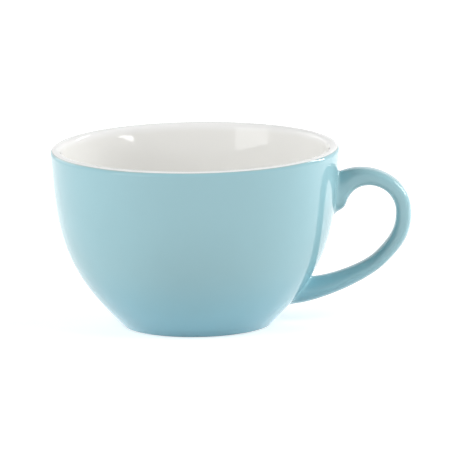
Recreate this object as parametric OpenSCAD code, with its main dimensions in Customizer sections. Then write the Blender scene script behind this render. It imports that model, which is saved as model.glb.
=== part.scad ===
/* [Cup] */
// Diameter over the rim, with its glaze
rim_d = 96; // [86:1:108]
// Height from the table to the top of the lip
cup_h = 59.6; // [55:0.2:68]
// Diameter of the clay circle that stands on the table
foot_d = 47.4; // [42:0.2:52]
// Thickness of the lip, with the glaze on both sides
lip_t = 3.5; // [2.8:0.1:4.4]
// Lean of the wall at the lip, in degrees from upright
lip_lean = 4; // [0:0.5:8]

/* [Wall] */
// Slope of the flank above the foot, in degrees from the table
flank_angle = 46.4; // [40:0.2:52]
// Height at which the straight flank turns into the curve
flank_h = 5; // [4:0.1:7]
// Length along which the curve follows the flank's slope
flank_pull = 24.6; // [18:0.2:30]
// Length along which the curve follows the lip's lean
lip_pull = 21.1; // [14:0.1:26]
// Clay thickness where the wall meets the floor
wall_base_t = 5; // [4:0.1:6]

/* [Floor and foot] */
// Clay thickness of the floor over the recess
floor_t = 4; // [3:0.1:4.6]
// Depth of the recess under the floor
recess_depth = 1.6; // [1:0.1:2]
// Width of the bare ring that the cup stands on
foot_ring_w = 3.2; // [2.2:0.1:5]
// Radius that rounds the outside of the foot
foot_round = 1.4; // [0.8:0.1:2.4]

/* [Glaze] */
// Thickness of every coat of glaze
glaze_t = 0.35; // [0.2:0.05:0.5]
// Where white meets blue on the lip, in degrees up round its outer side
colour_line = 50; // [20:5:80]
// Height of clay left bare above the table
bare_h = 0.2; // [0.1:0.05:0.4]

/* [Handle] */
// How far the handle stands out past the rim
handle_reach = 23.6; // [20:0.2:28]
// Width of the strap
handle_w = 9.4; // [8:0.2:12]
// Height from the rim's top down to the crown of the arch
crown_drop = 8; // [6:0.1:10]
// How far the crown lies out past the rim
crown_out = 6.7; // [5:0.1:9]
// Thickness at the crown
crown_t = 5.8; // [4.8:0.1:7]
// How much further out the gap's top lies than the crown
crown_skew = 2.8; // [0:0.1:4]
// Height from the crown down to the point that stands out furthest
side_drop = 14.6; // [12.6:0.1:17]
// Thickness at that point
side_t = 5.2; // [4:0.1:6.5]
// Height from that point down to the elbow, where the strap slopes at 45 degrees
elbow_drop = 17.4; // [15:0.1:19]
// How far in from that point the elbow lies
elbow_in = 8.5; // [7:0.1:10.5]
// Thickness at the elbow
elbow_t = 4.9; // [4:0.1:6]

/* [Handle roots] */
// Height from the rim's top down to the upper root
root_drop = 9.4; // [8.6:0.1:12]
// Height of the flared upper root on the wall
root_h = 14; // [11:0.1:16]
// Height of the rounded heel at the root's lower end
heel_h = 3.2; // [2.4:0.1:4.2]
// How far the heel stands out past the rim
heel_out = 1.8; // [1.2:0.1:2.6]
// Height of the lower root's underside above the table
underside_h = 5.8; // [4.8:0.1:9]
// Height of the lower root on the wall
low_root_h = 9.3; // [7:0.1:11]
// Width of both roots
root_w = 10.8; // [9:0.2:13]
// Radius of the slip that rounds the corner between root and wall
slip_round = 1.2; // [0.6:0.1:1.6]

/* [Hidden] */
$fn = 180;

// Overrun of every cut
cut = 1;
// Steps along each arc and curve of the bowl's outline
arc_steps = 6;
lip_steps = 10;
wall_steps = 26;
// Points round a section of the strap
strap_sides = 28;

// Clay sizes, which lie one coat inside the finished ones
rim_r = rim_d / 2;
foot_r = foot_d / 2;
lip_r = lip_t / 2 - glaze_t;
lip_centre = [rim_r - lip_t / 2, cup_h - lip_t / 2];
floor_z = recess_depth + floor_t;
recess_centre = [foot_r - foot_ring_w - recess_depth, 0];
foot_centre = [foot_r, foot_round];

// Angles, from the direction that points straight out
lip_inside = 180 - lip_lean;
flank_out = flank_angle - 90;
bare_angle = -acos((foot_round - bare_h) / (foot_round + glaze_t));
recess_bare_angle = asin(bare_h / (recess_depth - glaze_t));

// Smooth curve through p[0] and p[3], with p[1] and p[2] as its pulls
function curve(p, t) = pow(1 - t, 3) * p[0] + 3 * pow(1 - t, 2) * t * p[1]
    + 3 * (1 - t) * t * t * p[2] + pow(t, 3) * p[3];
function curve_way(p, t) = pow(1 - t, 2) * (p[1] - p[0])
    + 2 * (1 - t) * t * (p[2] - p[1]) + t * t * (p[3] - p[2]);
function unit(v) = v / norm(v);
function heading(a) = [cos(a), sin(a)];
function reversed(a) = [for (i = [len(a) - 1:-1:0]) a[i]];
function arc(centre, r, from, to, steps) =
    [for (i = [0:steps]) centre + r * heading(from + (to - from) * i / steps)];

// The clay wall's outer curve, from the top of the flank to the lip
lip_side = lip_centre + lip_r * heading(-lip_lean);
flank_foot = foot_centre + foot_round * heading(flank_out);
flank_top = [flank_foot[0] + (flank_h - flank_foot[1]) / tan(flank_angle), flank_h];
wall_curve = [
    flank_top,
    flank_top + flank_pull * heading(flank_angle),
    lip_side - lip_pull * heading(90 - lip_lean),
    lip_side
];

// Way towards the inside, square to the wall
function inward(t) = let (w = unit(curve_way(wall_curve, t))) [-w[1], w[0]];
// Clay thickness, which thins from the floor to the lip
function clay_t(t) = 2 * lip_r + (wall_base_t - 2 * lip_r) * pow(1 - t, 2);

// Outline stretches: each is moved outwards by its coat
function foot_line(coat, from) =
    arc(foot_centre, foot_round + coat, from, flank_out, arc_steps);
function wall_line(coat) = [for (i = [0:wall_steps - 1])
    let (t = i / wall_steps) curve(wall_curve, t) - coat * inward(t)];
function lip_line(coat, from, to) = arc(lip_centre, lip_r + coat, from, to, lip_steps);
function inner_line(coat) = [for (i = [wall_steps - 1:-1:0])
    let (t = i / wall_steps) curve(wall_curve, t) + (clay_t(t) + coat) * inward(t)];
corner = flank_top + wall_base_t * inward(0);
corner_r = (corner[1] - floor_z) / (1 - cos(flank_angle));
corner_centre = corner + corner_r * inward(0);
function floor_line(coat) = concat(
    arc(corner_centre, corner_r - coat, flank_out, -90, arc_steps),
    [[0, floor_z + coat]]);
function recess_line(coat, from) = concat(
    arc(recess_centre, recess_depth - coat, from, 90, arc_steps),
    [[0, recess_depth - coat]]);

// The whole outer side up to the lip's top, and the wall's radius at a height
function outer_side(coat) = concat(
    foot_line(coat, -90),
    wall_line(coat),
    lip_line(coat, -lip_lean, 90));
clay_radii = [for (p = outer_side(0)) [p[1], p[0]]];
glaze_radii = [for (p = outer_side(glaze_t)) [p[1], p[0]]];

// Ways that the strap's edges point, in degrees from straight out
root_top_way = 36;
root_low_way = 32;
neck_way = 12;
heel_way = 72;
crown_way = 0;
side_way = -90;
elbow_way = -135;
underside_way = -179;
low_gap_way = -182;

// Stations of the strap: outer edge, inner edge, the way of each, and half the width
crown = [rim_r + crown_out, cup_h - crown_drop];
side = [rim_r + handle_reach, crown[1] - side_drop];
elbow = side - [elbow_in, elbow_drop];
root_top = [lookup(cup_h - root_drop, glaze_radii), cup_h - root_drop];
root_low = [lookup(root_top[1] - root_h, glaze_radii), root_top[1] - root_h];
heel = [rim_r + heel_out, root_low[1] + heel_h];
underside = [lookup(underside_h, glaze_radii), underside_h];
low_gap = [lookup(underside_h + low_root_h, glaze_radii), underside_h + low_root_h];
neck_rise_share = 0.55;
neck = [heel[0], root_top[1] + (crown[1] - root_top[1]) * neck_rise_share];
stations = [
    [root_top, root_low, root_top_way, root_low_way, root_w / 2],
    [neck, heel, neck_way, heel_way, (root_w + handle_w) / 4],
    [crown, crown + [crown_skew, -crown_t], crown_way, crown_way, handle_w / 2],
    [side, side - [side_t, 0], side_way, side_way, handle_w / 2],
    [elbow, elbow - elbow_t * heading(elbow_way + 90), elbow_way, elbow_way, handle_w / 2],
    [underside, low_gap, underside_way, low_gap_way, root_w / 2]
];
last = len(stations) - 1;
// Pulls between stations, as shares of the straight way between them
pull_shares = [0.34, 0.4, 0.39, 0.41, 0.25];
// Length over which a root bends to follow the round wall
wrap_len = 4;

// Places of the rings, counted in stations. The rings of a joint lie at shares of the stretch at its root
upper_joint_shares = [0, 0.07, 0.15, 0.25, 0.37, 0.5];
lower_joint_shares = [0.08, 0.06, 0.042, 0.027, 0.014, 0.005, 0];
upper_joint = upper_joint_shares;
lower_joint = [for (s = lower_joint_shares) last - s];
// Rings on each stretch of the strap, from the end of one joint to the start of the other
stretch_ends = [upper_joint[len(upper_joint) - 1], 1, 2, 3, 4, lower_joint[0]];
stretch_steps = [3, 6, 10, 7, 10];
strap_run = concat(
    [for (k = [0:len(stretch_steps) - 1]) for (i = [0:stretch_steps[k] - 1])
        stretch_ends[k] + (stretch_ends[k + 1] - stretch_ends[k]) * i / stretch_steps[k]],
    [lower_joint[0]]);
whole_run = concat(
    upper_joint,
    [for (i = [1:len(strap_run) - 2]) strap_run[i]],
    lower_joint);

// One edge of the strap at a place u: e is 0 for the outer edge, 1 for the inner
function edge(u, e) =
    let (k = min(floor(u), last - 1),
        a = stations[k],
        b = stations[k + 1],
        pull = pull_shares[k] * norm(b[e] - a[e]))
    curve([a[e], a[e] + pull * heading(a[e + 2]), b[e] - pull * heading(b[e + 2]), b[e]], u - k);
function half_width(u) =
    let (k = min(floor(u), last - 1), t = u - k)
    stations[k][4] + (stations[k + 1][4] - stations[k][4]) * t * t * (3 - 2 * t);
function middle(u) = (edge(u, 0) + edge(u, 1)) / 2;
function near_end(u) = u <= 1 ? 0 : last;
// Distance of a section from the wall at its own root: between the roots it counts as far away
function from_wall(u) =
    let (root = stations[near_end(u)])
    u > 1 && u < last - 1 ? wrap_len
        : abs(cross(middle(u) - middle(near_end(u)), unit(root[0] - root[1])));
// Slip that rounds the corner at the wall
function slip_flare(u) = let (d = slip_round - from_wall(u))
    d > 0 ? slip_round - sqrt(slip_round * slip_round - d * d) : 0;

// Points of a flat oval section, inset by a skin
function flat_ring(u, skin) =
    let (o = edge(u, 0),
        m = middle(u),
        grow = slip_flare(u) - skin,
        half = norm(o - m) + grow,
        up = unit(o - m),
        w = half_width(u) + grow)
    [for (i = [0:strap_sides - 1])
        let (a = 360 * i / strap_sides, p = m + half * cos(a) * up)
        [p[0], w * sin(a), p[1]]];
// The same point brought onto the wall, along the way the handle points
function on_wall(p, radii) =
    [sqrt(pow(lookup(p[2], radii), 2) - p[1] * p[1]), p[1], p[2]];
// Section whose shape follows the round wall the closer it lies to it
function ring(u, skin, radii) =
    let (fade = pow(max(0, 1 - from_wall(u) / wrap_len), 2),
        flat = flat_ring(u, skin),
        seat = flat_ring(near_end(u), skin))
    [for (i = [0:strap_sides - 1]) flat[i] + fade * (on_wall(seat[i], radii) - seat[i])];
function clay_ring(u) = ring(u, glaze_t, clay_radii);
function coat_ring(u) = ring(u, 0, glaze_radii);
// End of the coat, let through the blue coat down to the clay
function coat_end(u) = [for (p = coat_ring(u)) on_wall(p, clay_radii)];
function centre_of(r) = [for (k = [0:2]) (r[0][k] + r[strap_sides / 2][k]) / 2];
function shrunk(r, share) = [for (p = r) centre_of(r) + share * (p - centre_of(r))];

// Triangles between each ring and the next
function band(n) = [for (k = [0:n - 2]) for (i = [0:strap_sides - 1])
    let (a = k * strap_sides + i,
        b = k * strap_sides + (i + 1) % strap_sides,
        c = a + strap_sides,
        d = b + strap_sides)
    each [[a, c, b], [b, c, d]]];
// Fan of triangles from a middle point to a ring
function fan(first, mid, turned) = [for (i = [0:strap_sides - 1])
    let (a = first + i, b = first + (i + 1) % strap_sides) turned ? [mid, a, b] : [mid, b, a]];

// Solid through a run of rings, closed at both ends
module loft(rings, start, end) {
    n = len(rings);
    points = concat([for (r = rings) each r], [start, end]);
    polyhedron(points, concat(
        band(n),
        fan(0, n * strap_sides, true),
        fan((n - 1) * strap_sides, n * strap_sides + 1, false)));
}

// Solid slip from a root's wall face to the end of the strap
module slip_joint(run, wall_u, strap_u) {
    wall_ring = clay_ring(wall_u);
    cap_shares = [1 / 3, 2 / 3];
    cap = [for (s = cap_shares) [for (p = shrunk(wall_ring, s)) on_wall(p, clay_radii)]];
    seat = on_wall(centre_of(wall_ring), clay_radii);
    rest = [for (u = run) clay_ring(u)];
    if (wall_u < strap_u)
        loft(concat(cap, rest), seat, centre_of(clay_ring(strap_u)));
    else
        loft(concat(rest, reversed(cap)), centre_of(clay_ring(strap_u)), seat);
}

// Straight hole through the blue coat where a root goes through it
module root_window(u) {
    outline = coat_end(u);
    reach = [for (p = outline) p[0]];
    translate([min(reach) - cut, 0, 0])
        rotate([90, 0, 90])
            linear_extrude(max(reach) - min(reach) + 2 * cut)
                polygon([for (p = outline) [p[1], p[2]]]);
}

module bowl() {
    color("ivory")
        rotate_extrude()
            polygon(concat(
                foot_line(0, -90),
                wall_line(0),
                lip_line(0, -lip_lean, lip_inside),
                inner_line(0),
                floor_line(0),
                reversed(recess_line(0, 0))));
}

module handle() {
    color("ivory")
        loft([for (u = strap_run) clay_ring(u)],
            centre_of(clay_ring(strap_run[0])),
            centre_of(clay_ring(strap_run[len(strap_run) - 1])));
}

module upper_slip_joint() {
    color("linen")
        slip_joint(upper_joint, 0, upper_joint[len(upper_joint) - 1]);
}

module lower_slip_joint() {
    color("linen")
        slip_joint(lower_joint, last, lower_joint[0]);
}

module inside_glaze() {
    color("white")
        rotate_extrude()
            polygon(concat(
                lip_line(glaze_t, colour_line, lip_inside),
                inner_line(glaze_t),
                floor_line(glaze_t),
                reversed(floor_line(0)),
                reversed(inner_line(0)),
                reversed(lip_line(0, colour_line, lip_inside))));
}

module outside_glaze() {
    color("powderblue")
        difference() {
            rotate_extrude()
                polygon(concat(
                    foot_line(glaze_t, bare_angle),
                    wall_line(glaze_t),
                    lip_line(glaze_t, -lip_lean, colour_line),
                    reversed(lip_line(0, -lip_lean, colour_line)),
                    reversed(wall_line(0)),
                    reversed(foot_line(0, bare_angle))));
            root_window(0);
            root_window(last);
        }
}

module handle_glaze() {
    outside = concat([coat_end(0)], [for (u = whole_run) coat_ring(u)], [coat_end(last)]);
    inside = reversed([for (u = whole_run) clay_ring(u)]);
    rings = concat(outside, inside, [outside[0]]);
    n = len(rings) - 1;
    total = n * strap_sides;
    color("powderblue")
        polyhedron(
            [for (k = [0:n - 1]) each rings[k]],
            [for (f = band(n + 1)) [for (v = f) v % total]]);
}

module recess_glaze() {
    color("powderblue")
        rotate_extrude()
            polygon(concat(
                recess_line(0, recess_bare_angle),
                reversed(recess_line(glaze_t, recess_bare_angle))));
}

bowl();
handle();
upper_slip_joint();
lower_slip_joint();
inside_glaze();
outside_glaze();
handle_glaze();
recess_glaze();
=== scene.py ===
# %% [markdown]
# # A cappuccino cup in stoneware, white inside and pale blue outside
#
# A cup like this is turned, gets its handle stuck on while the clay is damp, and is fired. White glaze is
# poured inside, blue glaze is sprayed outside, and the second firing melts both to glass. The coats are
# what the eye sees, so each coat is a piece of its own here: turned coats for the bowl, and a drawn-out
# one for the handle.
#
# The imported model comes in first. It gives the real sizes, and every piece below is fitted to them.

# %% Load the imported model
import math

import bpy
from mathutils import Matrix, Vector


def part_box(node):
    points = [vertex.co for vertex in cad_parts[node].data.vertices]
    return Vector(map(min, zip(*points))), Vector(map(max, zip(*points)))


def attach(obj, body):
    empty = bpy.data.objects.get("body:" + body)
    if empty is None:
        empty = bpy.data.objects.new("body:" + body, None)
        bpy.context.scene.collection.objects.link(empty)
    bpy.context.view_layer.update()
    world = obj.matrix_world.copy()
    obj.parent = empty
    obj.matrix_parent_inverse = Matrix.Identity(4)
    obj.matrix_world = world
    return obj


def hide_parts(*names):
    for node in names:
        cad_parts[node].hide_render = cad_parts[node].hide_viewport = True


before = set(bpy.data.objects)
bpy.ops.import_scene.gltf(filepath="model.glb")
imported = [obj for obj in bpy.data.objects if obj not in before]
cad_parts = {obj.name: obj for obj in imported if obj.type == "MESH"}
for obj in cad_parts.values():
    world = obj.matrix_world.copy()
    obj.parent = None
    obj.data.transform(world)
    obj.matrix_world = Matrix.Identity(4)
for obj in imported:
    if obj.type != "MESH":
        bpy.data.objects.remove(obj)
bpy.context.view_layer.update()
print("Solids:", sorted(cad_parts))

# %% [markdown]
# Blender works in metres, and a potter in millimetres. One value changes between them, so the sizes of the
# bowl and the handle can be written as a potter would measure them.
#
# An outline is drawn flat, as on paper: each point is a distance from the cup's axis and a height. Apart
# from a few straight stretches, this cup is all arcs and smooth curves, so there is a helper for each. A
# smooth curve runs from the first of four points to the last, and the two between them pull it. Angles are
# in degrees, and 0 is straight out.

# %% Units and helpers for outlines
MM = 0.001
UP = 90
INWARDS = 180
DOWN = -90


def heading(degrees):
    """A step of length one, at an angle from straight out."""
    return Vector((math.cos(math.radians(degrees)), math.sin(math.radians(degrees))))


def curve_point(pulls, t):
    """A point on the smooth curve that four points give, where t runs from 0 to 1."""
    a, b, c, d = pulls
    s = 1 - t
    return s ** 3 * a + 3 * s * s * t * b + 3 * s * t * t * c + t ** 3 * d


def curve_way(pulls, t):
    """The way along the same curve."""
    a, b, c, d = pulls
    s = 1 - t
    return (s * s * (b - a) + 2 * s * t * (c - b) + t * t * (d - c)).normalized()


def arc(centre, radius, start, end, steps):
    """Points along an arc, both ends included."""
    return [centre + radius * heading(start + (end - start) * i / steps) for i in range(steps + 1)]


print("One millimetre is", MM, "metres")

# %% [markdown]
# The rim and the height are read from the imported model, so the turned pieces fit it. The other sizes are
# the ones that a potter would note down for this bowl: the lip, the foot, the flank that rises from the
# foot, and the coats.
#
# The inside has a lean of its own. A potter leaves the wall thicker low down, so inside it leans outwards
# more than outside. The picture of the lamps in the far inside wall shows that lean: 9.4 degrees at the
# lip, against 4 outside.

# %% The bowl's sizes
_, rim_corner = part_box("outside_glaze")
_, top_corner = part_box("inside_glaze")
RIM_R = rim_corner[1] / MM
CUP_H = top_corner[2] / MM
GLAZE = 0.35
LIP_T = 3.5
LIP_R = LIP_T / 2 - GLAZE
LIP_LEAN = 4
LIP_PULL = 21.1
FOOT_R = 23.7
FOOT_ROUND = 1.4
FOOT_RING = 3.2
FLANK = 46.4
FLANK_H = 5
FLANK_PULL = 24.6
WALL_BASE = 5
INSIDE_LEAN = 9.4
INSIDE_FLANK_PULL = 24
INSIDE_LIP_PULL = 27
RECESS = 1.6
FLOOR_T = 4
FLOOR_Z = RECESS + FLOOR_T
COLOUR_LINE = 50
BARE_H = 0.2
print("Rim radius %.1f mm, height %.1f mm, foot radius %.1f mm" % (RIM_R, CUP_H, FOOT_R))

# %% [markdown]
# Outside, the wall is one smooth curve from the flank to the lip. Inside, it is a second curve, which
# starts one wall's thickness further in. Both run into the same round lip, so nothing shows where they
# meet it. The wall could be a row of measured points as well, but a curve with two pulls has no bumps, and
# the mirror of a glaze would show every one.

# %% The two curves of the wall


def inward(curve, t):
    """The way from a curve of the wall towards the drink."""
    way = curve_way(curve, t)
    return Vector((-way.y, way.x))


lip_centre = Vector((RIM_R - LIP_R - GLAZE, CUP_H - LIP_R - GLAZE))
lip_side = lip_centre + LIP_R * heading(-LIP_LEAN)
foot_centre = Vector((FOOT_R, FOOT_ROUND))
flank_foot = foot_centre + FOOT_ROUND * heading(FLANK + DOWN)
flank_run = (FLANK_H - flank_foot.y) / math.tan(math.radians(FLANK))
flank_top = Vector((flank_foot.x + flank_run, FLANK_H))
WALL = (flank_top, flank_top + FLANK_PULL * heading(FLANK),
        lip_side - LIP_PULL * heading(UP - LIP_LEAN), lip_side)

corner = flank_top + WALL_BASE * inward(WALL, 0)
inside_lip = lip_centre + LIP_R * heading(INWARDS - INSIDE_LEAN)
INSIDE = (corner, corner + INSIDE_FLANK_PULL * heading(FLANK),
          inside_lip - INSIDE_LIP_PULL * heading(UP - INSIDE_LEAN), inside_lip)
print("The wall is %.1f mm thick at its foot" % (corner - flank_top).length)

# %% [markdown]
# The bowl's outline comes in stretches: foot, wall, lip, inside wall, floor and recess. Each can be drawn
# on the clay, or moved out by a coat's thickness. So a coat is always the same outline drawn twice, and it
# lies on the clay with no gap.

# %% The stretches of the outline
WALL_STEPS = 40
LIP_STEPS = 14
FOOT_STEPS = 8
CORNER_STEPS = 10
RECESS_STEPS = 8
corner_r = (corner.y - FLOOR_Z) / (1 - math.cos(math.radians(FLANK)))
corner_centre = corner + corner_r * inward(WALL, 0)
recess_centre = Vector((FOOT_R - FOOT_RING - RECESS, 0))


def foot_line(coat, start):
    """The round outer edge of the foot, from an angle up to the flank."""
    return arc(foot_centre, FOOT_ROUND + coat, start, FLANK + DOWN, FOOT_STEPS)


def wall_line(coat):
    """The outside of the wall, upwards."""
    shares = [i / WALL_STEPS for i in range(WALL_STEPS)]
    return [curve_point(WALL, t) - coat * inward(WALL, t) for t in shares]


def lip_line(coat, start, end):
    """The round lip, between two angles."""
    return arc(lip_centre, LIP_R + coat, start, end, LIP_STEPS)


def inner_line(coat):
    """The inside of the wall, downwards."""
    shares = [i / WALL_STEPS for i in reversed(range(WALL_STEPS))]
    return [curve_point(INSIDE, t) + coat * inward(INSIDE, t) for t in shares]


def floor_line(coat):
    """The round corner inside and the floor, as far as the axis."""
    bend = arc(corner_centre, corner_r - coat, FLANK + DOWN, DOWN, CORNER_STEPS)
    return bend + [Vector((0, FLOOR_Z + coat))]


def recess_line(coat, start):
    """The hollow under the foot, from an angle at its side to the axis."""
    bend = arc(recess_centre, RECESS - coat, start, UP, RECESS_STEPS)
    return bend + [Vector((0, RECESS - coat))]


print("The floor's corner has a radius of %.1f mm" % corner_r)

# %% [markdown]
# Each turned piece is made as on the wheel. A plane is added and merged to one point, the point is
# extruded along the outline, and the outline is spun once round the axis. The seam and the pole are then
# merged, and the normals are worked out again, because a spin can leave the faces looking inwards. A Screw
# modifier could turn the outline as well. The spin is an edit like the ones before it, so the shape is
# done when edit mode ends.

# %% Turn a piece
TURNS = 160
MERGE_WITHIN = 0.002
SHARP_ANGLE = 40


def start_piece(name):
    """Deselects everything and adds a plane that is merged to one point at the origin, in edit mode."""
    bpy.ops.object.select_all(action="DESELECT")
    bpy.ops.mesh.primitive_plane_add(size=MM)
    piece = bpy.context.object
    piece.name = name
    piece.data.name = name
    bpy.ops.object.mode_set(mode="EDIT")
    bpy.ops.mesh.select_all(action="SELECT")
    bpy.ops.mesh.merge(type="CENTER")
    return piece


def turn(name, outline):
    """Extrudes one point along an outline, closes it and spins it into a solid."""
    piece = start_piece(name)
    here = Vector((0, 0))
    for i, point in enumerate(outline):
        step = (point - here) * MM
        move = {"value": (step.x, 0, step.y)}
        if i == 0:
            bpy.ops.transform.translate(**move)
        else:
            bpy.ops.mesh.extrude_region_move(TRANSFORM_OT_translate=move)
        here = point
    bpy.ops.mesh.select_all(action="SELECT")
    bpy.ops.mesh.edge_face_add()
    bpy.ops.mesh.delete(type="ONLY_FACE")
    bpy.ops.mesh.select_all(action="SELECT")
    bpy.ops.mesh.spin(steps=TURNS, angle=math.tau, center=(0, 0, 0), axis=(0, 0, 1))
    bpy.ops.mesh.select_all(action="SELECT")
    bpy.ops.mesh.remove_doubles(threshold=MERGE_WITHIN * MM)
    bpy.ops.mesh.normals_make_consistent(inside=False)
    bpy.ops.object.mode_set(mode="OBJECT")
    bpy.ops.object.shade_smooth_by_angle(angle=math.radians(SHARP_ANGLE))
    print("%s: %d faces" % (name, len(piece.data.polygons)))
    return piece


# %% [markdown]
# The clay bowl shows only at the ring that it stands on. It is still turned whole, because a coat needs
# something behind it when somebody cuts the model open.

# %% Turn the clay bowl
clay_outline = foot_line(0, DOWN) + wall_line(0) + lip_line(0, -LIP_LEAN, INWARDS - INSIDE_LEAN)
clay_outline += inner_line(0) + floor_line(0) + recess_line(0, 0)[::-1]
clay_bowl = turn("clay_bowl", clay_outline)
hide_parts("bowl")

# %% [markdown]
# The white coat starts on the outer side of the lip, where it meets the blue, and runs over the lip and
# down to the floor. Its two faces are the clay's outline and the same outline moved off the clay. It could
# be a second material on the clay, but then it would have no thickness and no edge where the blue begins.

# %% Turn the white coat
white_outer = lip_line(GLAZE, COLOUR_LINE, INWARDS - INSIDE_LEAN) + inner_line(GLAZE) + floor_line(GLAZE)
white_inner = lip_line(0, COLOUR_LINE, INWARDS - INSIDE_LEAN) + inner_line(0) + floor_line(0)
white_coat = turn("white_inside_coat", white_outer + white_inner[::-1])
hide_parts("inside_glaze")

# %% [markdown]
# The blue coat covers the outside from just above the table to the colour line. A second blue coat lines
# the recess under the foot. The ring between them was wiped clean, because glaze would stick to the kiln
# shelf.

# %% Turn the two blue coats of the bowl
foot_bare = -math.degrees(math.acos((FOOT_ROUND - BARE_H) / (FOOT_ROUND + GLAZE)))
blue_outer = foot_line(GLAZE, foot_bare) + wall_line(GLAZE) + lip_line(GLAZE, -LIP_LEAN, COLOUR_LINE)
blue_inner = foot_line(0, foot_bare) + wall_line(0) + lip_line(0, -LIP_LEAN, COLOUR_LINE)
blue_coat = turn("blue_bowl_coat", blue_outer + blue_inner[::-1])
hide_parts("outside_glaze")

recess_bare = math.degrees(math.asin(BARE_H / (RECESS - GLAZE)))
recess_outline = recess_line(0, recess_bare) + recess_line(GLAZE, recess_bare)[::-1]
recess_coat = turn("blue_recess_coat", recess_outline)
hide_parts("recess_glaze")

# %% [markdown]
# The handle was cast in a mould of its own. From the side it is a strap that leaves the wall under the
# lip, turns over a flat crown, runs down a long side and comes back under the bowl. Its sizes start from
# the rim and the wall, so it stays on the cup. Its two ends are wider than the strap, because they were
# pressed onto the bowl with slip.

# %% The handle's sizes
HANDLE_REACH = 23.6
HANDLE_W = 9.4
ROOT_W = 10.8
ROOT_DROP = 9.4
ROOT_H = 14
HEEL_OUT = 1.8
HEEL_H = 3.2
NECK_RISE_SHARE = 0.55
CROWN_OUT = 6.7
CROWN_DROP = 8
CROWN_T = 5.8
CROWN_SKEW = 2.8
SIDE_DROP = 14.6
SIDE_T = 5.2
ELBOW_IN = 8.5
ELBOW_DROP = 17.4
ELBOW_T = 4.9
ELBOW_ACROSS = 135
UNDERSIDE_H = 5.8
LOW_ROOT_H = 9.3


def on_wall(z):
    """The point of the blue coat at a height."""
    line = foot_line(GLAZE, DOWN) + wall_line(GLAZE) + lip_line(GLAZE, -LIP_LEAN, UP)
    for low, high in zip(line, line[1:]):
        if low.y <= z <= high.y:
            return Vector((low.x + (high.x - low.x) * (z - low.y) / (high.y - low.y), z))
    return Vector((line[-1].x, z))


crown = Vector((RIM_R + CROWN_OUT, CUP_H - CROWN_DROP))
side = Vector((RIM_R + HANDLE_REACH, crown.y - SIDE_DROP))
elbow = side - Vector((ELBOW_IN, ELBOW_DROP))
root_top = on_wall(CUP_H - ROOT_DROP)
root_low = on_wall(root_top.y - ROOT_H)
heel = Vector((RIM_R + HEEL_OUT, root_low.y + HEEL_H))
neck = Vector((heel.x, root_top.y + (crown.y - root_top.y) * NECK_RISE_SHARE))
print("The handle reaches to %.1f mm from the axis" % side.x)

# %% [markdown]
# The strap runs between two edges, an outer and an inner one. Both pass the same six stations: the upper
# root, the heel of the flare, the crown, the side, the elbow and the lower root. A station also says which
# way the edges go there, how wide half of the strap is, and how much of a section's side each rounded
# corner takes, in percent. Between two stations an edge is a smooth curve, and the width and the corners
# ease over from one to the next.

# %% The handle's stations
COLUMNS = ("outer", "inner", "outer_way", "inner_way", "half_width", "corner_share")
ROWS = (
    (root_top, root_low, 36, 32, ROOT_W / 2, 49),
    (neck, heel, 12, 72, (ROOT_W / 2 + HANDLE_W / 2) / 2, 40),
    (crown, crown + Vector((CROWN_SKEW, -CROWN_T)), 0, 0, HANDLE_W / 2, 37),
    (side, side - Vector((SIDE_T, 0)), -90, -90, HANDLE_W / 2, 36),
    (elbow, elbow + ELBOW_T * heading(ELBOW_ACROSS), -135, -135, HANDLE_W / 2, 44),
    (on_wall(UNDERSIDE_H), on_wall(UNDERSIDE_H + LOW_ROOT_H), -179, -182, ROOT_W / 2, 49),
)
STATIONS = [dict(zip(COLUMNS, row)) for row in ROWS]
PULL_SHARES = (0.34, 0.4, 0.39, 0.41, 0.25)
LAST = len(STATIONS) - 1


def edge_point(u, edge):
    """A point on the outer or the inner edge, at a place counted in stations."""
    k = min(int(u), LAST - 1)
    a, b = STATIONS[k], STATIONS[k + 1]
    pull = PULL_SHARES[k] * (b[edge] - a[edge]).length
    leave = a[edge] + pull * heading(a[edge + "_way"])
    arrive = b[edge] - pull * heading(b[edge + "_way"])
    return curve_point((a[edge], leave, arrive, b[edge]), u - k)


def eased(u, column):
    """A value of the stations, at a place between them."""
    k = min(int(u), LAST - 1)
    a, b = STATIONS[k][column], STATIONS[k + 1][column]
    t = u - k
    return a + (b - a) * t * t * (3 - 2 * t)


def middle(u):
    """The point halfway between the edges."""
    return (edge_point(u, "outer") + edge_point(u, "inner")) / 2


print("The handle has %d stations" % len(STATIONS))

# %% [markdown]
# Slip was pressed into the corner where a root meets the wall, and smoothed with a wet finger. So the
# strap flares in its last millimetre or so, by a quarter of a circle. The flare depends on how far a
# section is from the wall, which is measured square to the root.

# %% The flare at the roots
SLIP_ROUND = 1.2
WRAP_LEN = 4


def from_wall(u):
    """Distance of a section from the wall at its own root. Between the roots it counts as far away."""
    if 1 < u < LAST - 1:
        return WRAP_LEN
    end = 0 if u <= 1 else LAST
    along = (STATIONS[end]["outer"] - STATIONS[end]["inner"]).normalized()
    return abs((middle(u) - middle(end)).cross(along))


def slip_flare(u):
    """How far the slip in the corner pushes the skin out, near a root."""
    d = max(0, SLIP_ROUND - from_wall(u))
    return SLIP_ROUND - math.sqrt(SLIP_ROUND ** 2 - d * d)


print("The flare at the wall is %.1f mm" % slip_flare(0))

# %% [markdown]
# A ring starts as a square. A bevel rounds its corners, it is pressed to the strap's width and thickness,
# and it is tilted, so that it faces along the strap. At the roots the rounded corners take nearly the
# whole side, which gives an oval. Along the strap they leave a flat in the middle, as a handle has that
# was cast in a mould, so the light lies evenly on its side.
#
# A curve with a bevel could draw a strap too, but it keeps one shape of section all the way. All the rings
# are added in one edit session, and bridging joins them in the order in which they lie. They lie closest
# at the roots, where the skin bends most.

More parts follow.
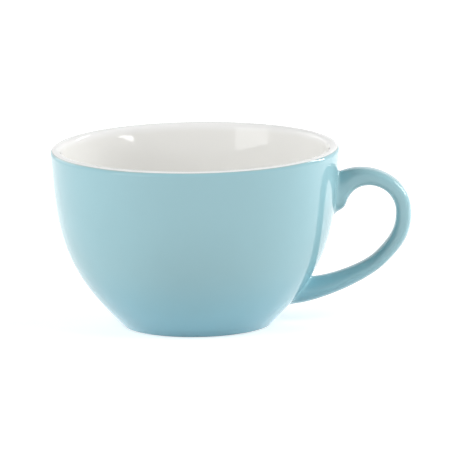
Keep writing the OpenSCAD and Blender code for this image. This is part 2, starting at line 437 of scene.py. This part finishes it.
# %% Draw the handle's skin
SIDES = 40
CORNERS = 4
ROUND_PROFILE = 0.5
UPPER_PLACES = [0, 0.02, 0.05, 0.09, 0.14, 0.2, 0.28, 0.37, 0.48, 0.6, 0.73, 0.86]
LOWER_PLACES = [4.9, 4.92, 4.94, 4.955, 4.968, 4.979, 4.988, 4.995, 5]


def spread(start, length, count):
    """Even places over a length. The place at its end belongs to the next stretch."""
    return [start + length * i / count for i in range(count)]


def add_ring(u):
    """Adds one rounded ring of the strap, in edit mode."""
    outer, mid = edge_point(u, "outer"), middle(u)
    half = (outer - mid).length + slip_flare(u)
    wide = eased(u, "half_width") + slip_flare(u)
    tilt = math.atan2(outer.y - mid.y, outer.x - mid.x)
    place = Vector((mid.x, 0, mid.y)) * MM
    bpy.ops.mesh.primitive_circle_add(vertices=CORNERS, radius=math.sqrt(2) * MM, location=place)
    bpy.ops.transform.rotate(value=math.pi / CORNERS, orient_axis="Z", center_override=place)
    bpy.ops.mesh.bevel(offset_type="PERCENT", offset_pct=eased(u, "corner_share"),
                       segments=SIDES // CORNERS - 1, profile=ROUND_PROFILE, affect="VERTICES")
    bpy.ops.transform.resize(value=(half, wide, 1), center_override=place)
    bpy.ops.transform.rotate(value=tilt, orient_axis="Y", center_override=place)


STRAP_PLACES = spread(1, 1, 10) + spread(2, 1, 16) + spread(3, 1, 12) + spread(4, 0.9, 16)
PLACES = UPPER_PLACES + STRAP_PLACES + LOWER_PLACES
handle_coat = start_piece("blue_handle_coat")
bpy.ops.mesh.delete(type="VERT")
for u in PLACES:
    add_ring(u)
bpy.ops.mesh.select_all(action="SELECT")
bpy.ops.mesh.bridge_edge_loops()
bpy.ops.mesh.select_all(action="SELECT")
bpy.ops.mesh.normals_make_consistent(inside=False)
bpy.ops.object.mode_set(mode="OBJECT")
bpy.ops.object.shade_smooth()
print("blue_handle_coat: %d rings, %d faces" % (len(PLACES), len(handle_coat.data.polygons)))

# %% [markdown]
# The rings are flat, but the wall is round. A Shrinkwrap modifier lays each ring near a root over the
# wall, at its own distance from it, so the coat runs out onto the bowl as a soft skirt. A ring further out
# follows the wall less, because its group has a smaller weight. A Boolean could cut the strap off at the
# wall, but it would leave a hard crease there.

# %% Lay the roots on the wall


def lay_ring(index, distance):
    """Lays one ring of the strap over the bowl's coat, at a distance from it."""
    group = handle_coat.vertex_groups.new(name="ring_%d" % index)
    follow_share = (1 - distance / WRAP_LEN) ** 2
    group.add(range(index * SIDES, (index + 1) * SIDES), follow_share, "REPLACE")
    wrap = handle_coat.modifiers.new("lay_ring", "SHRINKWRAP")
    wrap.target = blue_coat
    wrap.wrap_method = "NEAREST_SURFACEPOINT"
    wrap.wrap_mode = "ABOVE_SURFACE"
    wrap.vertex_group = group.name
    wrap.offset = distance * MM
    bpy.ops.object.modifier_apply(modifier=wrap.name)


laid = 0
for index, u in enumerate(PLACES):
    if from_wall(u) < WRAP_LEN:
        lay_ring(index, from_wall(u))
        laid += 1
handle_coat.vertex_groups.clear()
print("%d rings follow the wall" % laid)

# %% [markdown]
# So far the coat is a skin. Solidify adds a second skin, one thickness of glaze further in, and joins the
# two at both ends. A smaller set of rings could do that too, but it would have to be laid on the wall
# again.

# %% Give the handle's coat its thickness
INNER_SIDE = -1
thicken = handle_coat.modifiers.new("glaze_thickness", "SOLIDIFY")
thicken.thickness = GLAZE * MM
thicken.offset = INNER_SIDE
thicken.use_rim = True
bpy.ops.object.modifier_apply(modifier=thicken.name)
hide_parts("handle_glaze")
print("blue_handle_coat: %d faces with its inner side" % len(handle_coat.data.polygons))

# %% [markdown]
# Now the finishes. A glaze is glass that melted on the cup. It draws back from an edge, where it looks thin
# and pale. Low down the colour is deeper: on the blue glaze that is painted shade, the darker and bluer
# light near the foot. Both glazes use one node group for this, each time with other colours and heights.
# A picture could be laid round the cup as well, but a pattern that is worked out at each point has no
# seam.
#
# A node group has sockets like a node has. A small helper makes the group, its sockets and its two end
# nodes.

# %% Helpers for node groups
NUMBER, COLOUR = "NodeSocketFloat", "NodeSocketColor"


def new_group(name, inputs, outputs):
    """Makes an empty shader node group with named sockets."""
    group = bpy.data.node_groups.new(name, "ShaderNodeTree")
    for label, kind in inputs:
        group.interface.new_socket(name=label, in_out="INPUT", socket_type=kind)
    for label, kind in outputs:
        group.interface.new_socket(name=label, in_out="OUTPUT", socket_type=kind)
    return group, group.nodes.new("NodeGroupInput").outputs, group.nodes.new("NodeGroupOutput").inputs


def fill(tree, socket, source):
    """Links an input to a socket, or gives it a value."""
    if isinstance(source, bpy.types.NodeSocket):
        tree.links.new(source, socket)
    else:
        socket.default_value = source


def add_node(tree, kind, sources=(), **settings):
    """Adds a node, sets its settings and fills its inputs, given as pairs of a socket and a source."""
    node = tree.nodes.new(kind)
    for key, value in settings.items():
        setattr(node, key, value)
    for socket, source in sources:
        fill(tree, node.inputs[socket], source)
    return node


print("Helpers for node groups are ready")

# %% [markdown]
# Five kinds of node come back all the time, so each gets a short helper that returns the socket it ends
# in: a place on the piece, a calculation, a noise, a change of range, and a mix of two colours. Every
# pattern reads Object coordinates, which are metres on this cup, so it moves along when the cup is moved.

# %% Helpers for nodes that come back


def object_place(tree):
    """The place of a point on its piece."""
    return add_node(tree, "ShaderNodeTexCoord").outputs["Object"]


def calculate(tree, operation, *sources):
    """The result of a calculation."""
    return add_node(tree, "ShaderNodeMath", enumerate(sources), operation=operation).outputs[0]


def noise(tree, place, scale, detail):
    """A soft noise between 0 and 1."""
    sources = [("Vector", place), ("Scale", scale), ("Detail", detail)]
    return add_node(tree, "ShaderNodeTexNoise", sources).outputs["Fac"]


def change_range(tree, value, before, after=(0, 1), way="LINEAR"):
    """Moves a value from one range to another."""
    sources = [("Value", value), ("From Min", before[0]), ("From Max", before[1]),
               ("To Min", after[0]), ("To Max", after[1])]
    return add_node(tree, "ShaderNodeMapRange", sources, interpolation_type=way).outputs[0]


def mix_colours(tree, share, first, second):
    """Mixes two colours."""
    node = add_node(tree, "ShaderNodeMix", data_type="RGBA")
    for label, source in (("Factor", share), ("A", first), ("B", second)):
        fill(tree, next(i for i in node.inputs if i.name == label and i.enabled), source)
    return next(o for o in node.outputs if o.enabled)


print("Helpers for nodes are ready")

# %% [markdown]
# The colour of a glaze goes by height: it is deeper low down, which on the blue glaze is painted shade near
# the foot, and thin near the top edge. A soft noise moves the borders up and down a little, so they don't
# look ruled, and a second noise makes the colour a touch uneven, as a sprayed glaze is.

# %% The colour of a glaze
SWAY_SCALE = 45
CLOUD_SCALE = 60
NOISE_MIDDLE = 0.5
tone_group, given, out = new_group(
    "glaze_tone",
    [("Full Colour", COLOUR), ("Deep Colour", COLOUR), ("Thin Colour", COLOUR), ("Deep Below", NUMBER),
     ("Thin Above", NUMBER), ("Edge Width", NUMBER), ("Unevenness", NUMBER)],
    [("Colour", COLOUR)])
place = object_place(tone_group)
height = add_node(tone_group, "ShaderNodeSeparateXYZ", [("Vector", place)]).outputs["Z"]
sway = calculate(tone_group, "SUBTRACT", noise(tone_group, place, SWAY_SCALE, 1), NOISE_MIDDLE)
height = calculate(tone_group, "MULTIPLY_ADD", sway, given["Edge Width"], height)
# Deeper colour below a height; on the blue glaze this deep colour is painted shade near the foot.
deep = change_range(tone_group, height, (given["Deep Below"], 0), way="SMOOTHSTEP")
thin_end = calculate(tone_group, "ADD", given["Thin Above"], given["Edge Width"])
thin = change_range(tone_group, height, (given["Thin Above"], thin_end), way="SMOOTHSTEP")
colour = mix_colours(tone_group, deep, given["Full Colour"], given["Deep Colour"])
colour = mix_colours(tone_group, thin, colour, given["Thin Colour"])
cloud = calculate(tone_group, "SUBTRACT", noise(tone_group, place, CLOUD_SCALE, 3), NOISE_MIDDLE)
cloud = calculate(tone_group, "MULTIPLY_ADD", cloud, given["Unevenness"], 1)
uneven = add_node(tone_group, "ShaderNodeHueSaturation", [("Color", colour), ("Value", cloud)])
tone_group.links.new(uneven.outputs["Color"], out["Colour"])
print("glaze_tone: %d nodes" % len(tone_group.nodes))

# %% [markdown]
# Melted glaze is never quite flat. It has long shallow waves, and a fine skin like that of an orange,
# which only shows in the edge of a reflection. Both could be modelled, but they are less than a hundredth
# of a millimetre deep. So the second group gives a height for a Bump node, and a roughness that changes
# slightly from place to place.

# %% The skin of a glaze
WAVE_RANGE = (0.3, 0.7)
skin_group, given, out = new_group(
    "glaze_skin",
    [("Wave Scale", NUMBER), ("Skin Scale", NUMBER), ("Skin Share", NUMBER), ("Smoothest", NUMBER),
     ("Dullest", NUMBER)],
    [("Height", NUMBER), ("Roughness", NUMBER)])
place = object_place(skin_group)
waves = noise(skin_group, place, given["Wave Scale"], 1)
skin = noise(skin_group, place, given["Skin Scale"], 1)
lift = calculate(skin_group, "MULTIPLY_ADD", skin, given["Skin Share"], waves)
skin_group.links.new(lift, out["Height"])
dull = change_range(skin_group, waves, WAVE_RANGE, (given["Smoothest"], given["Dullest"]))
skin_group.links.new(dull, out["Roughness"])
print("glaze_skin: %d nodes" % len(skin_group.nodes))

# %% [markdown]
# Bare clay shows at the ring under the foot. Fired stoneware is dry and slightly gritty: darker grains lie
# in a pale body, and the surface has tiny pits. The clay and the slip in the joints share this group.

# %% The grain of fired clay
BLOTCH_SCALE = 120
BLOTCH_COLOUR = (0.80, 0.77, 0.71, 1)
PIT_SCALE = 1400
DRY_ROUGHNESS = (0.75, 0.95)
grain_group, given, out = new_group(
    "clay_grain",
    [("Body Colour", COLOUR), ("Grain Colour", COLOUR), ("Grain Scale", NUMBER), ("Grain Share", NUMBER)],
    [("Colour", COLOUR), ("Height", NUMBER), ("Roughness", NUMBER)])
place = object_place(grain_group)
grain_sources = [("Vector", place), ("Scale", given["Grain Scale"])]
grains = add_node(grain_group, "ShaderNodeTexVoronoi", grain_sources).outputs["Distance"]
dots = change_range(grain_group, grains, (given["Grain Share"], 0))
blotches = noise(grain_group, place, BLOTCH_SCALE, 4)
body = mix_colours(grain_group, blotches, given["Body Colour"], BLOTCH_COLOUR)
colour = mix_colours(grain_group, dots, body, given["Grain Colour"])
grain_group.links.new(colour, out["Colour"])
lift = calculate(grain_group, "SUBTRACT", noise(grain_group, place, PIT_SCALE, 3), dots)
grain_group.links.new(lift, out["Height"])
dull = change_range(grain_group, blotches, (0, 1), DRY_ROUGHNESS)
grain_group.links.new(dull, out["Roughness"])
print("clay_grain: %d nodes" % len(grain_group.nodes))

# %% [markdown]
# A material is the Principled shader with these groups in front of it. A helper adds the groups, gives
# each its values and links what it puts out by name: a colour to the base colour, a roughness to the
# roughness, and a height through a Bump node to the normal. The height of a bump is written in millimetres
# too.

# %% A helper for materials


def new_material(name, groups, bump_height):
    """A Principled material with node groups, each of which comes with its values."""
    material = bpy.data.materials.new(name)
    material.use_nodes = True
    tree = material.node_tree
    shader = tree.nodes["Principled BSDF"]
    for group, values in groups:
        node = add_node(tree, "ShaderNodeGroup", values.items(), node_tree=group)
        for output in node.outputs:
            if output.name == "Colour":
                tree.links.new(output, shader.inputs["Base Color"])
            elif output.name == "Roughness":
                tree.links.new(output, shader.inputs["Roughness"])
            elif output.name == "Height":
                sources = [("Height", output), ("Distance", bump_height * MM)]
                bump = add_node(tree, "ShaderNodeBump", sources)
                tree.links.new(bump.outputs["Normal"], shader.inputs["Normal"])
    print("%s: %d groups" % (name, len(groups)))
    return material


# %% [markdown]
# The white glaze is warm and nearly even. The blue one is a pale duck-egg blue, with painted shade that
# makes it deeper and bluer near the foot, and it is thinner and greyer where it meets the white coat.
# Poured glaze lies smoother than sprayed glaze, so the white one has the lower roughness, and the lamps show
# in it with crisp edges. Slip is clay too, only finer, so it is a little paler and its grains are smaller.
#
# The heights at which a glaze changes are in metres, like the coordinates that its group reads.

# %% Materials
white_glaze = new_material("white_glaze", [
    (tone_group, {"Full Colour": (0.79, 0.785, 0.76, 1), "Deep Colour": (0.78, 0.76, 0.72, 1),
                  "Thin Colour": (0.83, 0.83, 0.82, 1), "Deep Below": 0.02, "Thin Above": 0.0565,
                  "Edge Width": 0.002, "Unevenness": 0.02}),
    (skin_group, {"Wave Scale": 70, "Skin Scale": 900, "Skin Share": 0.04,
                  "Smoothest": 0.015, "Dullest": 0.035}),
], bump_height=0.008)
# The blue glaze's Deep Colour is painted shade: darker, bluer light near the foot, below Deep Below.
blue_glaze = new_material("blue_glaze", [
    (tone_group, {"Full Colour": (0.305, 0.52, 0.573, 1), "Deep Colour": (0.23, 0.505, 0.605, 1),
                  "Thin Colour": (0.42, 0.50, 0.48, 1), "Deep Below": 0.028, "Thin Above": 0.0588,
                  "Edge Width": 0.0005, "Unevenness": 0.05}),
    (skin_group, {"Wave Scale": 80, "Skin Scale": 900, "Skin Share": 0.04,
                  "Smoothest": 0.05, "Dullest": 0.08}),
], bump_height=0.012)
bare_clay = new_material("bare_clay", [
    (grain_group, {"Body Colour": (0.72, 0.68, 0.60, 1), "Grain Colour": (0.42, 0.34, 0.26, 1),
                   "Grain Scale": 900, "Grain Share": 0.2}),
], bump_height=0.05)
fired_slip = new_material("fired_slip", [
    (grain_group, {"Body Colour": (0.74, 0.70, 0.63, 1), "Grain Colour": (0.50, 0.42, 0.34, 1),
                   "Grain Scale": 1500, "Grain Share": 0.12}),
], bump_height=0.03)

# %% [markdown]
# Each piece gets its finish, rides on the cup's one body, and names the slot of the record that it is made
# of. The handle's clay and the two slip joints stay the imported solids, because the coats hide them.

# %% Dress the pieces


def dress(piece, material, slot):
    """Gives a new piece its finish and its body, and prints the slot that it is made of."""
    piece.data.materials.clear()
    piece.data.materials.append(material)
    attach(piece, "root")
    print("%s is %s" % (piece.name, slot))


dress(clay_bowl, bare_clay, "clay")
dress(white_coat, white_glaze, "white_glaze")
dress(blue_coat, blue_glaze, "blue_glaze")
dress(recess_coat, blue_glaze, "blue_glaze")
dress(handle_coat, blue_glaze, "blue_glaze")
hidden = {"handle": bare_clay, "upper_slip_joint": fired_slip, "lower_slip_joint": fired_slip}
for node, material in hidden.items():
    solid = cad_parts[node]
    solid.data.materials.clear()
    solid.data.materials.append(material)

# %% [markdown]
# The photograph was taken from a few metres away with a long lens, from a little above the rim, so both
# sides of the bowl look alike and the mouth is a narrow oval. The height angle comes from how narrow that
# oval is. The lens follows from the scale, which is counted in pixels for each millimetre at the cup's
# axis. The camera leans by less than a degree to one side, because the cup does so in the picture.

# %% Camera
CAMERA_DISTANCE = 2.5
CAMERA_SIGHT = 20
CAMERA_HEIGHT_ANGLE = 10.89
CAMERA_ROLL = 0.90
PIXELS = 460
SENSOR = 36
PIXELS_PER_MM = 3.0065
AXIS_PIXEL = (196.3, 234.73)
AIM_HEIGHT = 29.7

tilt = math.radians(CAMERA_HEIGHT_ANGLE)
roll = math.radians(CAMERA_ROLL)
forward = Vector((0, math.cos(tilt), -math.sin(tilt)))
level_up = Vector((0, math.sin(tilt), math.cos(tilt)))
level_right = Vector((1, 0, 0))
right = level_right * math.cos(roll) - level_up * math.sin(roll)
up = level_up * math.cos(roll) + level_right * math.sin(roll)
off_x = (PIXELS / 2 - AXIS_PIXEL[0]) / PIXELS_PER_MM * MM
off_y = (AXIS_PIXEL[1] - PIXELS / 2) / PIXELS_PER_MM * MM
aim = Vector((0, 0, AIM_HEIGHT * MM)) + right * off_x + up * off_y
camera_data = bpy.data.cameras.new("camera")
camera_data.sensor_width = SENSOR
camera_data.lens = PIXELS_PER_MM * CAMERA_DISTANCE / MM * SENSOR / PIXELS
camera_data.clip_end = CAMERA_SIGHT
camera = bpy.data.objects.new("camera", camera_data)
bpy.context.scene.collection.objects.link(camera)
axes = Matrix((right, up, -forward)).transposed()
camera.matrix_world = Matrix.Translation(aim - forward * CAMERA_DISTANCE) @ axes.to_4x4()
bpy.context.scene.camera = camera
print("The lens is %.0f mm long" % camera_data.lens)

# %% [markdown]
# The floor is a white sheet. Light Path tells a camera's ray from a mirrored ray and from a ray that
# carries light on, so the sheet can glow a little for the camera and a little more in the glaze's mirror,
# while no more light reaches the cup. Only a part of the sheet's brightness comes from that glow. The rest
# is light that falls on it, and that is why it keeps a soft shadow under the cup.

# %% Floor
FLOOR_SIZE = 8
WHITE = (1, 1, 1, 1)
SHEET_COLOUR = (0.8, 0.8, 0.8, 1)
SHEET_ROUGHNESS = 0.7
SEEN_GLOW = 0.45
MIRRORED_GLOW = 0.7

bpy.ops.object.select_all(action="DESELECT")
bpy.ops.mesh.primitive_plane_add(size=FLOOR_SIZE)
floor = bpy.context.object
floor.name = "floor"
floor_sheet = bpy.data.materials.new("floor_sheet")
floor_sheet.use_nodes = True
tree = floor_sheet.node_tree
ray = add_node(tree, "ShaderNodeLightPath").outputs
glow = calculate(tree, "MULTIPLY", ray["Is Camera Ray"], SEEN_GLOW)
glow = calculate(tree, "MULTIPLY_ADD", ray["Is Glossy Ray"], MIRRORED_GLOW, glow)
sheet = tree.nodes["Principled BSDF"].inputs
fill(tree, sheet["Base Color"], SHEET_COLOUR)
fill(tree, sheet["Roughness"], SHEET_ROUGHNESS)
fill(tree, sheet["Emission Color"], WHITE)
fill(tree, sheet["Emission Strength"], glow)
floor.data.materials.append(floor_sheet)
print("The floor is", floor.dimensions.x, "m wide")

# %% [markdown]
# The room is white as far as the camera sees it. The glaze mirrors a white backdrop too, which fades into
# a dim ceiling. That is what makes a lip and a handle look round: their upper sides go a little darker.
# Apart from that the room gives no light, which comes from the lamps alone.

# %% World
CEILING_SHARE = 0.3
FADE = (0.3, 0.7)

world = bpy.data.worlds.new("white_room")
bpy.context.scene.world = world
world.use_nodes = True
tree = world.node_tree
way = add_node(tree, "ShaderNodeTexCoord").outputs["Generated"]
way_up = add_node(tree, "ShaderNodeSeparateXYZ", [("Vector", way)]).outputs["Z"]
backdrop = change_range(tree, way_up, FADE, (1, CEILING_SHARE))
ray = add_node(tree, "ShaderNodeLightPath").outputs
mirrored = calculate(tree, "MULTIPLY", ray["Is Glossy Ray"], backdrop)
strength = calculate(tree, "MAXIMUM", ray["Is Camera Ray"], mirrored)
background = tree.nodes["Background"].inputs
fill(tree, background["Color"], WHITE)
fill(tree, background["Strength"], strength)
print("The ceiling is", CEILING_SHARE, "times as bright as the backdrop")

# %% [markdown]
# The lamps are soft boxes, as in a photographer's studio: fabric squares with a bulb behind. Two large
# ones stand at the front left and the front right and give the even light. A tall narrow one behind the
# handle draws the streak on its shoulder. A wide low one is mirrored in the far inside wall as a pale
# window, and a flat one as a glint. A weak one stands at the back left.
#
# The fills are light that comes back from white cards round the table. They lift the sides and the back of
# the cup. The two large boxes and the fills stand behind cloth, so their light arrives without a bright
# shape of its own in the glaze.
#
# Each lamp has a place, given by its angle round from the camera's side, its height angle and its distance
# in metres. Its brightness is that of its face, where 1 is white, so the power follows from the face's
# area. The view transform is Standard, so a colour comes out as it was written.

# %% Lamps
# Name, angle round, height angle, distance, width and height, brightness, shape, mirrored in the glaze or not
LAMPS = (
    ("left_box", -60, 36, 1.1, (0.7, 0.7), 5.5, "RECTANGLE", False),
    ("right_box", 60, 36, 1.1, (0.7, 0.7), 4.4, "RECTANGLE", False),
    ("strip_box", 124, 24, 1.1, (0.09, 0.5), 20, "RECTANGLE", True),
    ("back_left_box", -130, 22, 1.0, (0.6, 0.5), 1.0, "RECTANGLE", True),
    ("window_box", -52, 9.5, 1.0, (0.57, 0.28), 2.3, "RECTANGLE", True),
    ("glint_lamp", 64, 8, 1.0, (0.28, 0.03), 6.5, "ELLIPSE", True),
    ("low_left_fill", -84, 14, 1.0, (0.6, 0.4), 1.3, "RECTANGLE", False),
    ("low_right_fill", 80, 14, 1.0, (0.6, 0.4), 3.3, "RECTANGLE", False),
    ("low_side_fill", 112, 14, 1.0, (0.6, 0.4), 2.1, "RECTANGLE", False),
    ("low_back_fill", 150, 14, 1.0, (0.6, 0.4), 0.9, "RECTANGLE", False),
    ("back_fill", 180, 30, 1.1, (0.9, 0.7), 1.1, "RECTANGLE", False),
)
LAMP_AIM = Vector((0, 0, 0.03))


def add_lamp(name, around, above, distance, size, brightness, shape, mirrored):
    """A flat lamp that faces the cup. The camera doesn't see it, and the glaze mirrors it if asked to."""
    data = bpy.data.lights.new(name, "AREA")
    data.shape = shape
    data.size, data.size_y = size
    data.energy = brightness * math.pi * size[0] * size[1]
    lamp = bpy.data.objects.new(name, data)
    bpy.context.scene.collection.objects.link(lamp)
    around, above = math.radians(around), math.radians(above)
    level = math.cos(above)
    way = Vector((math.sin(around) * level, -math.cos(around) * level, math.sin(above)))
    lamp.location = LAMP_AIM + distance * way
    lamp.rotation_euler = way.to_track_quat("Z", "Y").to_euler()
    lamp.visible_camera = False
    lamp.visible_glossy = mirrored
    print("%s: %.1f W" % (name, data.energy))


for lamp_values in LAMPS:
    add_lamp(*lamp_values)
bpy.context.scene.view_settings.view_transform = "Standard"
